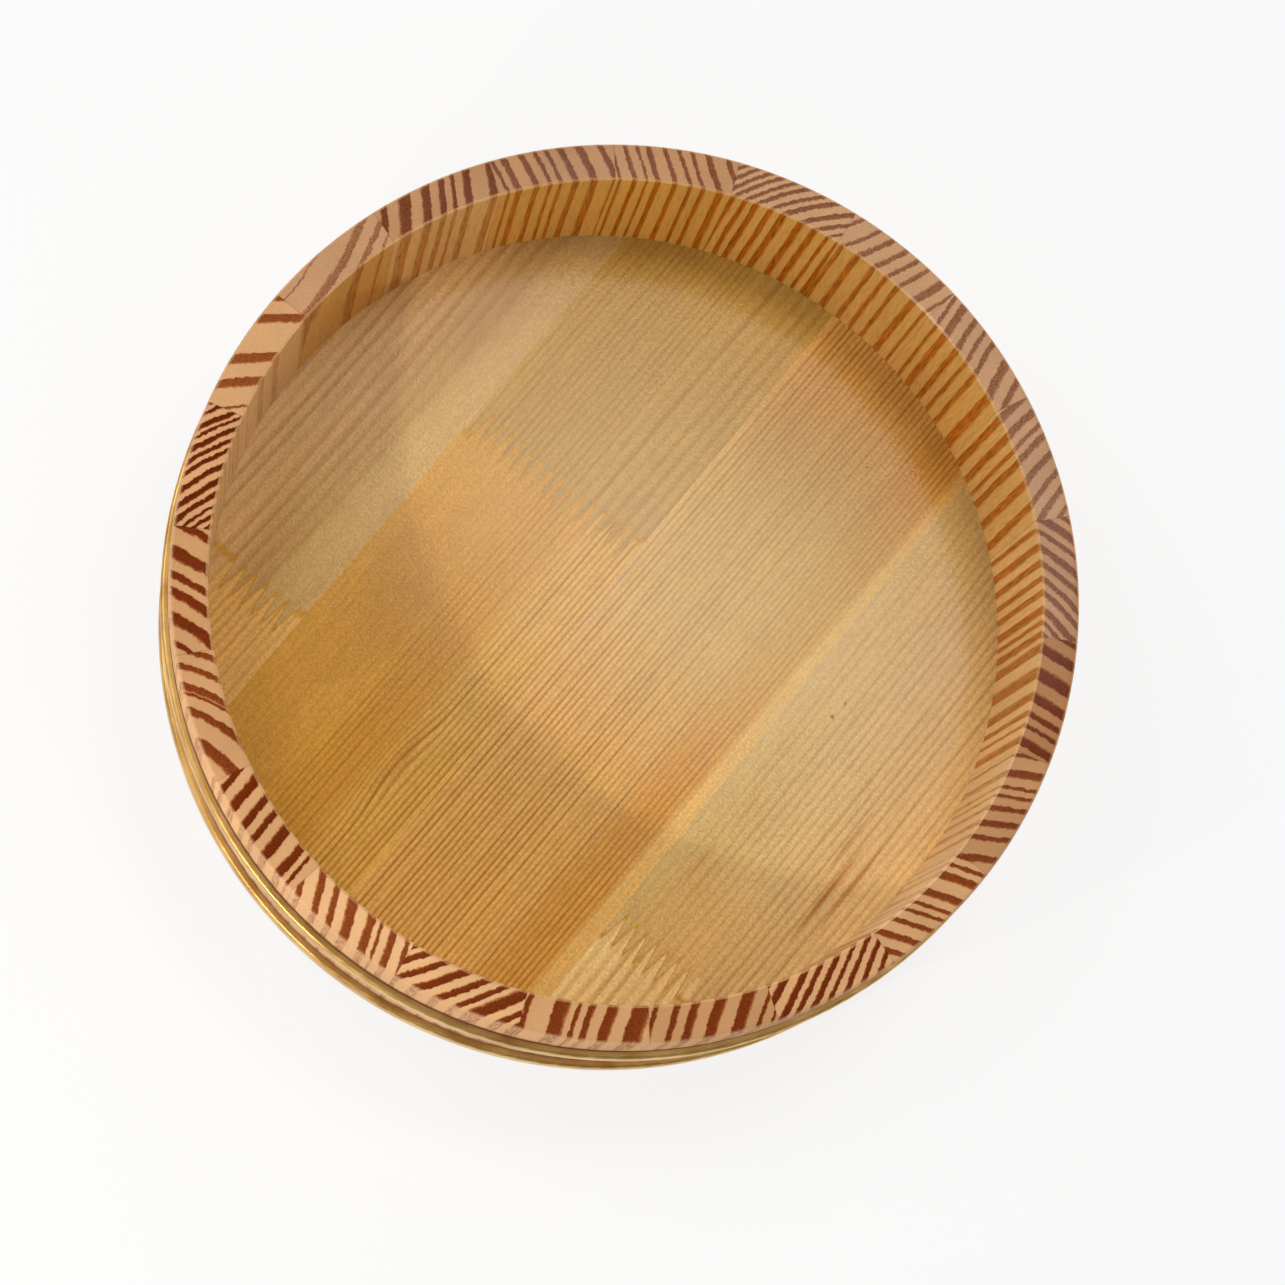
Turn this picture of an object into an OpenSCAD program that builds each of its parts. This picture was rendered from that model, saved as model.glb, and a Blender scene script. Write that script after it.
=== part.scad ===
// Hangiri: a low coopered tub of pine for cooling and seasoning sushi rice.
// Twenty-two staves stand in a ring and are held by two metal hoops. A groove
// cut round the inside of the staves, the croze, holds a flat base panel that
// is glued up from four boards. Three of the boards are themselves two lengths
// of wood joined end to end by glued fingers.
// Millimetres. The origin is on the ground at the centre of the tub, +Z is up,
// +Y runs along the grain of the base boards and +X runs across them.

/* [Tub] */
// Outside diameter of the wall
outer_d = 300; // [240:1:400]
// Height of the rim above the ground
tub_h = 88; // [76:1:140]
// Thickness of the wall at the rim
wall_t = 12.5; // [9:0.5:18]
// Lean of the inside wall in degrees, which makes it thicker towards the foot
inner_lean = 1; // [0:0.1:3]
// Radius of the rounded outer edge of the rim
rim_round = 1.5; // [0.5:0.1:3]
// Width of the bevel round the inner edge of the rim
rim_bevel = 0.8; // [0.3:0.1:2]
// Width of the bevels under the staves
foot_bevel = 1; // [0.3:0.1:2]
// Number of staves in the ring
stave_count = 22; // [16:1:30]

/* [Base panel] */
// Height of the underside of the panel above the ground
panel_rise = 14; // [10:0.5:20]
// Thickness of the panel
panel_t = 12; // [8:0.5:16]
// Depth of the croze, the groove that the panel sits in
croze_depth = 3; // [2:0.1:5]
// Room between the edge of the panel and the bottom of the croze
croze_gap = 0.1; // [0.05:0.05:0.5]
// Width of one board
board_w = 72.8; // [60:0.1:80]
// Place of the middle glue line across the panel, from the centre
middle_glue = -7.2; // [-15:0.1:15]

/* [Finger joints] */
// Length of the fingers
finger_l = 10; // [6:0.5:14]
// Distance from one finger to the next
finger_pitch = 4.6; // [3:0.1:6]
// Width of the blunt tip of a finger
finger_tip = 0.8; // [0.4:0.1:1.2]
// Plain shoulder at the edge of a board, beside its last finger
finger_shoulder = 2.9; // [2.8:0.1:5]
// Length of the lower piece of board 1, along its glue line
board_1_lower_l = 43; // [30:1:60]
// Length of the upper piece of board 2, along the middle glue line
board_2_upper_l = 115; // [60:1:150]
// Length of the lower piece of board 4, along its glue line
board_4_lower_l = 42; // [30:1:60]
// Shoulder at the inner edge of board 4, which was planed narrower there
board_4_shoulder = 0.9; // [0.9:0.1:4]

/* [Hoops] */
// Width of each hoop
hoop_w = 9; // [6:0.5:14]
// Thickness of each hoop
hoop_t = 2.4; // [1.4:0.1:3.5]
// Radius of the rounded outer edges of each hoop
hoop_round = 1.1; // [0.4:0.1:1.3]
// Distance from the rim down to the upper hoop
upper_hoop_drop = 31; // [15:1:40]
// Height of the lower hoop above the ground
lower_hoop_rise = 8; // [3:0.5:14]

/* [Hidden] */
$fn = 180;
// Cutting shapes run this far past the surface that they cut
spare = 1;

outer_r = outer_d / 2;
stave_angle = 360 / stave_count;
panel_top = panel_rise + panel_t;
croze_r = inner_r(panel_top) + croze_depth;
panel_r = croze_r - croze_gap;

left_glue = middle_glue - board_w;
right_glue = middle_glue + board_w;
// The outer boards reach past the panel before it is cut round
boards_a_side = ceil((panel_r + abs(middle_glue)) / board_w);
left_end = middle_glue - boards_a_side * board_w;
right_end = middle_glue + boards_a_side * board_w;
joint_1_y = board_1_lower_l - half_chord(left_glue);
joint_2_y = half_chord(middle_glue) - board_2_upper_l;
joint_4_y = board_4_lower_l - half_chord(right_glue);
// Where the low line of an outer joint runs out of the round panel
joint_1_stop = -half_chord(joint_1_y - finger_l / 2);
joint_4_stop = half_chord(joint_4_y - finger_l / 2);
joint_1 = finger_line(left_glue, left_end, joint_1_stop, joint_1_y, finger_shoulder, 1, -1);
joint_2 = finger_line(left_glue, middle_glue, middle_glue, joint_2_y, finger_shoulder, -1, 1);
joint_4 = finger_line(right_glue, right_end, joint_4_stop, joint_4_y, board_4_shoulder, -1, -1);

pine_colour = "#DCA670";
pale_board_colour = "#D8B67E";
pink_board_colour = "#CFA271";
amber_board_colour = "#C8923F";
hoop_colour = "#D2AC62";

function stave_name(i) = str("stave_", i < 10 ? "0" : "", i);

// Radius of the inside wall at a height above the ground
function inner_r(z) = outer_r - wall_t - (tub_h - z) * tan(inner_lean);

// Half the length of a line across the round panel, at a distance from its centre
function half_chord(d) = sqrt(panel_r * panel_r - d * d);

// The line of a finger joint across a board, from x0 to x1. It starts beside x0 on
// a plain shoulder, high (1) or low (-1), goes up and down over the fingers with
// blunt tips, and takes its last level, which has the sign `last`, before it
// reaches `stop`. From there it runs straight on to x1.
function finger_line(x0, x1, stop, y, shoulder, first, last) =
    let (
        way = sign(x1 - x0),
        half_pitch = finger_pitch / 2,
        room = abs(stop - x0) - shoulder - finger_shoulder,
        fit = max(0, floor(room / half_pitch)),
        odd = first == last ? 0 : 1,
        turns = fit - (fit + odd) % 2
    )
    concat(
        [[x0, y + first * finger_l / 2]],
        [for (k = [0 : turns])
            let (
                x = x0 + way * (shoulder + k * half_pitch),
                level = y + first * (k % 2 == 0 ? 1 : -1) * finger_l / 2,
                tip = way * finger_tip / 2
            )
            each concat(k == 0 ? [] : [[x - tip, level]], k == turns ? [] : [[x + tip, level]])
        ],
        [[x1, y + last * finger_l / 2]]
    );

// The outline of the piece of a board between its joint and the panel's far edge
function piece_outline(joint, far_y) =
    concat(joint, [[joint[len(joint) - 1].x, far_y], [joint[0].x, far_y]]);

// The wall cut through on one side: a thick foot, a rim with a rounded outer edge
// and a bevelled inner one, and the croze
module wall_section() {
    difference() {
        polygon([
            [inner_r(foot_bevel), foot_bevel],
            [inner_r(0) + foot_bevel, 0],
            [outer_r - foot_bevel, 0],
            [outer_r, foot_bevel],
            [outer_r, tub_h],
            [inner_r(tub_h) + rim_bevel, tub_h],
            [inner_r(tub_h - rim_bevel), tub_h - rim_bevel]
        ]);
        translate([outer_r - rim_round, tub_h - rim_round])
            difference() {
                square(rim_round + spare);
                circle(r = rim_round);
            }
        translate([inner_r(0) - spare, panel_rise])
            square([croze_r - inner_r(0) + spare, panel_t]);
    }
}

// One stave: the wall turned through its share of the ring. Its two long edges
// are planed to the centre of the tub, so that it closes face to face on its
// neighbours.
module stave(i) {
    color(pine_colour)
        rotate([0, 0, (i - 1) * stave_angle])
            rotate_extrude(angle = stave_angle)
                wall_section();
}

// One piece of a board, sawn to its outline, with the edge of the round panel
module panel_piece(outline) {
    intersection() {
        translate([0, 0, panel_rise])
            cylinder(h = panel_t, r = panel_r);
        translate([0, 0, panel_rise - spare])
            linear_extrude(height = panel_t + 2 * spare)
                polygon(outline);
    }
}

module board_1_upper() {
    color(pale_board_colour) panel_piece(piece_outline(joint_1, outer_r));
}

module board_1_lower() {
    color(amber_board_colour) panel_piece(piece_outline(joint_1, -outer_r));
}

module board_2_upper() {
    color(pink_board_colour) panel_piece(piece_outline(joint_2, outer_r));
}

module board_2_lower() {
    color(amber_board_colour) panel_piece(piece_outline(joint_2, -outer_r));
}

// The only board in one length
module board_3() {
    color(pink_board_colour)
        panel_piece([
            [middle_glue, -outer_r],
            [right_glue, -outer_r],
            [right_glue, outer_r],
            [middle_glue, outer_r]
        ]);
}

module board_4_upper() {
    color(pale_board_colour) panel_piece(piece_outline(joint_4, outer_r));
}

module board_4_lower() {
    color(pale_board_colour) panel_piece(piece_outline(joint_4, -outer_r));
}

// A metal band round the wall, flat inside and with both outer edges rounded
module hoop(z) {
    round_r = min(hoop_round, hoop_t - 0.1, hoop_w / 2 - 0.1);
    color(hoop_colour)
        rotate_extrude()
            translate([outer_r, z])
                union() {
                    square([hoop_t - round_r, hoop_w]);
                    translate([0, round_r])
                        square([hoop_t, hoop_w - 2 * round_r]);
                    translate([hoop_t - round_r, round_r])
                        circle(r = round_r);
                    translate([hoop_t - round_r, hoop_w - round_r])
                        circle(r = round_r);
                }
}

module upper_hoop() {
    hoop(tub_h - upper_hoop_drop - hoop_w);
}

module lower_hoop() {
    hoop(lower_hoop_rise);
}

for (i = [1 : stave_count])
    stave(i);
board_1_upper();
board_1_lower();
board_2_upper();
board_2_lower();
board_3();
board_4_upper();
board_4_lower();
upper_hoop();
lower_hoop();
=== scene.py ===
# %% [markdown]
# # A hangiri: lacquered pine staves, a jointed base and two polished hoops
# A hangiri is the low round tub in which cooked rice is cooled and seasoned for
# sushi. A cooper makes it from blocks of pine that stand on end in a ring. Two
# metal hoops press the ring together, and a flat base sits in a groove cut
# round the inside.
#
# The shapes come from the CAD model, which is already exact: 22 staves, the 7
# pieces of the base and 2 hoops. What is left for Blender is what wood and
# metal look like. Wood is the interesting part, because its pattern is not
# printed on it. It is the inside of a tree laid open by a saw, so it is made
# here as something solid that each surface cuts through.

# %% Load the model as a fixed frame
import math

import bpy
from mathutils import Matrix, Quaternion, Vector


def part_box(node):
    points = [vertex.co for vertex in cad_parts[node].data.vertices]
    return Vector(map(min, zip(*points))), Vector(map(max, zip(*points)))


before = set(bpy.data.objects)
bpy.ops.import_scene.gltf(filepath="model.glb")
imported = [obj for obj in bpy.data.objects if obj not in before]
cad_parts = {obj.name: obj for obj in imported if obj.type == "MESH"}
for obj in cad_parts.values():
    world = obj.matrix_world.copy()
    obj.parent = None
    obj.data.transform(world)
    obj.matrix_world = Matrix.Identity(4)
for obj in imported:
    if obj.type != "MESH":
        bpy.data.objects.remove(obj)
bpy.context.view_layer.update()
MM = 0.001
rim_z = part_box("stave_01")[1].z
base_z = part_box("board_3")[1].z
print("pieces:", len(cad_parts))
print("rim at", round(rim_z / MM, 1), "mm, top of the base at", round(base_z / MM, 1), "mm")

# %% [markdown]
# ## Colours, nodes and materials
# Colours are picked on a screen, so they are written as sRGB hex values.
# A shader works with linear light, and one function turns the first into the
# second.
#
# A material is a graph of nodes. Every node is made the same way: its kind, its
# options, and for each socket a number or the node that feeds it. One function
# does that for all of them.
#
# Most patterns here start from a noise. Its values lie about 0.5 and seldom
# leave the range from 0.3 to 0.7, so that is the range to spread when a pattern
# has to swing fully from one side to the other.

# %% Colours, nodes and materials
WHITE = (1, 1, 1, 1)
NOISE_LOW, NOISE_HIGH = 0.3, 0.7


def linear(hex_colour):
    """The linear red, green, blue and alpha of an sRGB hex colour."""
    sharp = [int(hex_colour[i:i + 2], 16) / 255 for i in (1, 3, 5)]
    return [c / 12.92 if c <= 0.04045 else ((c + 0.055) / 1.055) ** 2.4 for c in sharp] + [1.0]


def between(one, two, share):
    """The linear colour that lies a share of the way from one to another."""
    return [a + (b - a) * share for a, b in zip(one, two)]


def add(tree, kind, feeds=None, **options):
    """Adds a node. feeds gives each socket, by name or number, a value, a node's
    socket, or a node, which stands for its first socket in use."""
    node = tree.nodes.new(kind)
    for name, value in options.items():
        setattr(node, name, value)
    for socket, value in (feeds or {}).items():
        if isinstance(value, bpy.types.Node):
            value = next(out for out in value.outputs if out.enabled)
        if isinstance(value, bpy.types.NodeSocket):
            tree.links.new(value, node.inputs[socket])
        else:
            node.inputs[socket].default_value = value
    return node


def start_material(name):
    """A new material and its tree of nodes, still empty."""
    material = bpy.data.materials.new(name)
    material.use_nodes = True
    material.node_tree.nodes.clear()
    return material, material.node_tree


def dress(piece, material):
    """Makes a material the only one of a piece."""
    piece.data.materials.clear()
    piece.data.materials.append(material)


print("mid grey in linear light:", round(linear("#808080")[0], 3))

# %% [markdown]
# ## The camera
# The tub is seen from high above its near side, with a long lens from 1.25 m
# away, and the picture is turned a little more than 36 degrees. The camera is
# placed by the point it looks at, its direction, its distance and its roll,
# which are the things a photographer would set.

# %% Camera
aim = Vector((14.8, -12.8, 88.0)) * MM
azimuth, elevation, roll = math.radians(2.668), math.radians(76.924), math.radians(36.676)
distance = 1253.4 * MM
back = Vector((
    math.sin(azimuth) * math.cos(elevation),
    -math.cos(azimuth) * math.cos(elevation),
    math.sin(elevation),
))
camera = bpy.data.objects.new("camera", bpy.data.cameras.new("camera"))
bpy.context.scene.collection.objects.link(camera)
camera.data.sensor_width = 36.0
camera.data.lens = 107.78
camera.location = aim + back * distance
camera.rotation_mode = "QUATERNION"
camera.rotation_quaternion = Quaternion(back, roll) @ (-back).to_track_quat("-Z", "Y")
bpy.context.scene.camera = camera
print("camera at", [round(c / MM, 1) for c in camera.location], "mm")

# %% [markdown]
# ## The floor
# The tub stands on a sheet of pale paper, so wide that its far edge lies at the
# horizon in a low view. Seen by the camera, or in the hoops, the sheet is lifted
# towards white. Its material does that and no lamp, so the wood keeps its
# colour, and the sheet keeps the soft shadow of the tub.

# %% Floor
floor_size = 60.0
half = floor_size / 2
corners = [(-half, -half, 0), (half, -half, 0), (half, half, 0), (-half, half, 0)]
mesh = bpy.data.meshes.new("floor")
mesh.from_pydata(corners, [], [(0, 1, 2, 3)])
floor = bpy.data.objects.new("floor", mesh)
bpy.context.scene.collection.objects.link(floor)

share_lifted = 0.82
sheet, tree = start_material("white_paper_sheet")
seen = add(tree, "ShaderNodeLightPath")
direct = seen.outputs["Is Camera Ray"]
for ray in ("Is Glossy Ray", "Is Transmission Ray"):
    direct = add(tree, "ShaderNodeMath", {0: direct, 1: seen.outputs[ray]}, operation="MAXIMUM")
lift = add(tree, "ShaderNodeMath", {0: direct, 1: share_lifted}, operation="MULTIPLY")
paper = add(tree, "ShaderNodeBsdfDiffuse", {"Color": linear("#EDEBE8")})
glow = add(tree, "ShaderNodeEmission", {"Color": WHITE, "Strength": 1.0})
mixed = add(tree, "ShaderNodeMixShader", {0: lift, 1: paper, 2: glow})
add(tree, "ShaderNodeOutputMaterial", {"Surface": mixed})
dress(floor, sheet)
print("floor:", floor_size, "m wide, lifted towards white by", share_lifted)

# %% [markdown]
# ## The room
# The room is dim, so that the wood keeps its depth wherever no lamp is mirrored.
# Only its horizon is bright. The base can't see that over its own wall, but the
# rounded hoops mirror it as gold. How bright the room is depends only on how
# high the eye looks up, from 0 at the horizon to 1 straight overhead.

# %% Room
ceiling, walls, horizon = 0.30, 0.05, 0.70
ceiling_starts, ceiling_full = 0.55, 0.90
horizon_full, horizon_ends = 0.10, 0.34

world = bpy.data.worlds.new("pale_studio")
bpy.context.scene.world = world
world.use_nodes = True
tree = world.node_tree
tree.nodes.clear()
looking = add(tree, "ShaderNodeTexCoord").outputs["Generated"]
height = add(tree, "ShaderNodeSeparateXYZ", {0: looking}).outputs["Z"]
high = add(tree, "ShaderNodeMapRange", {
    "Value": height, "From Min": ceiling_starts, "From Max": ceiling_full,
    "To Min": walls, "To Max": ceiling,
}, interpolation_type="SMOOTHSTEP")
low = add(tree, "ShaderNodeMapRange", {
    "Value": height, "From Min": horizon_full, "From Max": horizon_ends,
    "To Min": horizon - walls, "To Max": 0.0,
}, interpolation_type="SMOOTHSTEP")
room = add(tree, "ShaderNodeMath", {0: high, 1: low}, operation="ADD")
surround = add(tree, "ShaderNodeBackground", {"Color": WHITE, "Strength": room})
add(tree, "ShaderNodeOutputWorld", {"Surface": surround})
print("room: ceiling", ceiling, "walls", walls, "horizon", horizon)

# %% [markdown]
# ## The lamps
# Lacquered wood is lit by two kinds of lamp. Some give the wood its colour. They
# stand where the base does not mirror them into the camera: one at the left, a
# weaker one at the right, and one low behind. A small low one in front throws
# the curved shade of the near rim on the base, and its edge is crisp because
# the lamp is small.
#
# The others are there to be mirrored as well. A broad lamp high behind the tub
# lies on the far half of the base as a pale sheen, with a brighter strip along
# its lower edge.

# %% Lamps
def soft_lamp(name, slope_x, slope_y, height, width, depth, level, colour):
    """A rectangular lamp aimed at the base. slope_x and slope_y say how far it
    stands to the side for each metre of height. level is the brightness that it
    gives to a white sheet facing it at the base."""
    lamp = bpy.data.lights.new(name, "AREA")
    lamp.shape = "RECTANGLE"
    lamp.size, lamp.size_y = width, depth
    place = Vector((slope_x * height, slope_y * height, height))
    lamp.energy = level * math.pi ** 2 * place.length_squared
    lamp.color = linear(colour)[:3]
    stand = bpy.data.objects.new(name, lamp)
    stand.location = place + Vector((0, 0, base_z))
    stand.rotation_mode = "QUATERNION"
    stand.rotation_quaternion = (-place).to_track_quat("-Z", "Y")
    stand.visible_camera = False
    bpy.context.scene.collection.objects.link(stand)
    print(name, "at", [round(c, 2) for c in stand.location], "m, power", round(lamp.energy, 2))


soft_lamp("lamp_low_front", -0.35, -1.6, 0.35, 0.02, 0.02, 0.32, "#FFFDF8")
soft_lamp("lamp_left", -0.62, -0.1, 1.0, 0.4, 0.4, 0.23, "#FFFFFF")
soft_lamp("lamp_right", 0.62, 0.1, 1.0, 0.4, 0.4, 0.09, "#FFFFFF")
soft_lamp("lamp_behind", 0.0, 1.3, 0.8, 0.5, 0.5, 0.15, "#FFFFFF")
soft_lamp("lamp_sheen_broad", -0.012, 0.308, 1.6, 0.53, 0.26, 0.22, "#FFFFFF")
soft_lamp("lamp_sheen_strip", -0.02, 0.235, 1.6, 0.24, 0.08, 0.055, "#FFFFFF")

# %% [markdown]
# ## Growth rings
# A trunk grows a pale soft layer each spring and a thin dark hard one each
# summer. On the end of a block these rings are arcs about the heart of the
# tree. On its long faces the same rings show as stripes. In pine the dark side
# ends sharply where the next spring starts, and it fades in on the other side.
#
# Each stave stands upright like the trunk did. So for each one it is enough to
# say where the heart of its tree was, and at which distances from it the dark
# rings lie. The rim then shows arcs, and the inside wall shows stripes that
# start exactly where the arcs end, with no texture to line up.
#
# The table has one entry for each stave, as a cooper could note it with a ruler
# on the rim. Its first numbers are:
#
# - `lean`: how far the rings lean from the spoke of the tub, in degrees
# - `heart`: the distance to the heart in mm, negative towards lower numbers
# - `rim_sheen`: how much painted sheen greys the rim on that side
# - `rim_sheen`: how much of a grey bloom the lacquer has on that side of the rim
# - `pale`: how pale the wood is between the rings; it rises towards the near side of the rim,
#   where it is partly painted light
# - `side_rings`: how strongly the rings show on the wall
# - `wall_sheen`: how much painted sheen makes the wall paler and milkier
# - `wander`: how far the rings wander, in mm
#
# Then follows each dark ring, as its place across the stave and its width in mm.

# %% What each stave shows
STAVES = [
    (24, -900, 0.75, 0.06, 0.30, 0.60, 0.80, 1.1, [
        (-16.2, 2.0), (-9.2, 1.5), (-4.2, 1.9), (1.0, 1.5), (5.2, 1.0), (8.3, 1.0), (13.2, 2.2),
        (19.4, 1.2)]),
    (-17, 370, 0.98, 0.08, 0.08, 0.85, 0.60, 1.1, [
        (-17.2, 2.6), (-11.9, 1.2), (-7.9, 1.8), (-2.4, 2.8), (5.3, 3.6), (13.1, 2.8),
        (19.6, 1.6)]),
    (-42, -79, 1.10, 0.75, 0.08, 0.90, 0.40, 1.1, [
        (-18.3, 1.6), (-15.2, 1.2), (-11.9, 1.9), (-7.4, 1.6), (-3.8, 1.4), (0.4, 1.7),
        (4.7, 1.9), (9.1, 1.3), (13.3, 2.4), (17.6, 1.6)]),
    (30, -84, 0.93, 1.00, 0.16, 0.90, 0.20, 1.1, [
        (-17.6, 1.4), (-12.5, 1.9), (-7.6, 1.6), (-1.8, 2.0), (4.0, 1.9), (7.7, 1.3),
        (12.4, 2.2), (18.2, 2.4)]),
    (24, -120, 0.89, 0.91, 0.28, 0.90, 0.10, 1.1, [
        (-15.5, 1.8), (-9.2, 2.7), (-2.0, 1.6), (2.5, 1.3), (7.2, 1.8), (12.9, 2.4),
        (17.1, 1.2)]),
    (-22, 70, 0.79, 0.78, 0.35, 0.90, 0.10, 1.1, [
        (-19.0, 1.0), (-14.0, 2.3), (-7.4, 1.3), (-2.9, 1.4), (1.9, 1.5), (7.3, 1.7),
        (12.1, 1.2), (18.2, 1.1)]),
    (-51, -88, 0.93, 0.73, 0.38, 1.00, 0.10, 1.1, [
        (-17.6, 1.1), (-15.0, 0.8), (-11.9, 1.3), (-8.4, 1.5), (-4.1, 1.5), (-1.1, 1.2),
        (2.4, 1.3), (5.1, 1.1), (7.9, 1.1), (10.5, 1.1), (13.1, 1.1), (15.8, 1.2),
        (18.2, 1.1)]),
    (23, -370, 0.84, 0.41, 0.24, 1.00, 0.00, 1.1, [
        (-17.6, 1.5), (-11.5, 1.8), (-6.5, 1.2), (-2.7, 1.1), (1.9, 1.4), (7.4, 1.5),
        (10.8, 0.8), (14.8, 1.4), (19.4, 0.9)]),
    (17, 140, 1.00, 0.53, 0.13, 0.90, 0.00, 1.1, [
        (-17.2, 1.8), (-10.5, 2.2), (-4.5, 1.8), (0.2, 1.2), (3.7, 1.2), (8.3, 1.7),
        (14.3, 1.9), (17.9, 1.0)]),
    (-20, 175, 1.00, 0.34, 0.24, 0.70, 0.35, 1.1, [
        (-19.0, 2.4), (-10.6, 2.2), (-5.8, 1.1), (-1.9, 1.8), (3.5, 2.6), (10.9, 3.5),
        (17.9, 2.0)]),
    (-71, 116, 0.58, 0.57, 0.31, 0.80, 0.00, 2.4, [
        (-12.0, 0.7), (-7.9, 1.6), (-2.2, 2.3), (6.6, 0.5)]),
    (36, 161, 0.59, 0.00, 0.56, 0.50, 0.45, 1.1, [
        (-18.8, 1.5), (-12.2, 2.5), (0.7, 2.7), (8.5, 2.6), (16.6, 0.8)]),
    (45, 130, 1.13, 0.02, 0.55, 0.35, 0.40, 1.8, [
        (-18.3, 1.4), (-15.7, 1.0), (-12.3, 1.4), (-9.9, 0.8), (-7.0, 1.4), (-4.1, 1.1),
        (-1.5, 1.2), (2.4, 1.6), (6.3, 1.6), (9.6, 1.4), (12.7, 0.9), (15.0, 1.1),
        (17.6, 1.2)]),
    (-32, 147, 0.91, 0.00, 0.42, 0.35, 0.40, 2.8, [
        (-17.6, 2.0), (-8.7, 3.2), (-2.0, 1.9), (3.0, 2.7), (10.1, 3.2), (16.9, 1.4)]),
    (-45, 50, 0.74, 0.00, 0.44, 0.80, 0.30, 1.6, [
        (-16.8, 1.8), (-11.3, 1.6), (-5.6, 2.0), (-3.6, 0.8), (1.5, 2.1), (9.9, 3.3),
        (16.4, 1.6)]),
    (17, -450, 0.98, 0.00, 0.55, 0.80, 0.30, 1.1, [
        (-18.2, 1.8), (-12.0, 2.8), (-5.8, 2.1), (-0.6, 2.0), (5.6, 2.8), (12.8, 2.6),
        (16.6, 0.9)]),
    (23, -159, 0.69, 0.00, 0.87, 0.80, 0.30, 1.1, [
        (-18.9, 1.8), (-12.5, 2.0), (-7.2, 1.8), (-1.2, 2.9), (5.7, 2.4), (9.3, 0.9),
        (13.6, 2.0), (18.9, 1.4)]),
    (-47, -196, 0.88, 0.00, 0.80, 0.80, 0.30, 1.1, [
        (-18.0, 1.9), (-14.2, 1.8), (-9.7, 1.6), (-4.7, 2.2), (0.3, 1.8), (4.5, 1.5),
        (9.0, 3.1), (14.3, 1.8), (17.9, 2.0)]),
    (-13, 204, 0.80, 0.00, 0.48, 0.80, 0.30, 1.1, [
        (-19.3, 1.5), (-9.0, 4.0), (-3.6, 1.2), (0.3, 1.8), (6.6, 3.0), (15.4, 4.7)]),
    (-28, 322, 0.83, 0.00, 0.36, 0.80, 0.30, 1.1, [
        (-18.3, 1.4), (-11.8, 1.7), (-6.4, 2.3), (0.7, 2.9), (8.8, 3.2), (15.0, 1.1),
        (18.8, 0.9)]),
    (-51, -222, 0.96, 0.00, 0.62, 0.80, 0.30, 1.1, [
        (-17.4, 1.2), (-13.5, 2.1), (-8.4, 1.8), (-4.9, 1.5), (-1.0, 1.6), (2.6, 1.2),
        (6.3, 1.4), (10.1, 1.4), (13.9, 1.3), (17.4, 1.3)]),
    (29, -286, 0.72, 0.00, 0.55, 0.38, 1.00, 1.1, [
        (-17.4, 1.5), (-12.3, 1.8), (-6.9, 1.5), (-2.7, 1.1), (0.4, 1.1), (5.0, 2.2),
        (11.9, 2.4), (16.0, 1.2), (19.6, 1.2)]),
]
stave_angle = 2 * math.pi / len(STAVES)
ring_count = sum(len(rings) for *_, rings in STAVES)
print("staves:", len(STAVES), " dark rings noted:", ring_count)

# %% [markdown]
# ## Lacquered pine, end grain and side grain
# The staves are pine under a thin satin lacquer. The end grain of the rim
# drinks the lacquer, so its dark rings are strong and red-brown. The side grain
# of the wall is amber, with softer stripes.
#
# How steeply the surface faces up or down says which of the two it is: 0 on a
# wall, and 1 on the flat rim or foot. The rounded edge of the rim passes
# gradually from one to the other. It is painted paler, partly for a little wear and partly as a
# painted highlight of the light on the rounding.

# %% End grain, side grain, and the worn edge with its painted highlight
UP = (0, 0, 1)
END_STARTS, END_FULL = 0.45, 0.95
LIT_EDGE_STARTS, LIT_EDGE_FULL, LIT_EDGE_FADES, LIT_EDGE_ENDS = 0.10, 0.50, 0.85, 0.99
LIT_EDGE_MOST = 0.30


def facing(tree):
    """How much of a surface is end grain, and how much of it is a rounded edge painted paler, for
    wear and as a painted highlight.
    """
    faces = add(tree, "ShaderNodeNewGeometry").outputs["Normal"]
    steep = add(tree, "ShaderNodeVectorMath", {0: faces, 1: UP}, operation="DOT_PRODUCT")
    steep = add(tree, "ShaderNodeMath", {0: steep}, operation="ABSOLUTE")
    end_grain = add(tree, "ShaderNodeMapRange", {
        "Value": steep, "From Min": END_STARTS, "From Max": END_FULL,
    }, interpolation_type="SMOOTHSTEP")
    rising = add(tree, "ShaderNodeMapRange", {
        "Value": steep, "From Min": LIT_EDGE_STARTS, "From Max": LIT_EDGE_FULL,
    })
    falling = add(tree, "ShaderNodeMapRange", {
        "Value": steep, "From Min": LIT_EDGE_FADES, "From Max": LIT_EDGE_ENDS,
        "To Min": LIT_EDGE_MOST, "To Max": 0.0,
    })
    lit_worn_edge = add(tree, "ShaderNodeMath", {0: rising, 1: falling}, operation="MULTIPLY")
    return end_grain, lit_worn_edge


print("end grain starts where the surface leans", round(math.degrees(math.asin(END_STARTS))),
      "degrees back from upright")

# %% [markdown]
# A curve turns the distance from the heart into the darkness of the wood. Each
# ring is four corners on that curve. It fades in over a third of its width on
# the side of the heart, and it ends sharply on the side of the bark.
#
# No ring is a perfect circle. A noise of 8 mm bends them slowly, more so round
# the tree than along it. A second noise of 1.5 mm frays their edges on the end
# grain, where the saw tore the soft wood.

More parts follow.
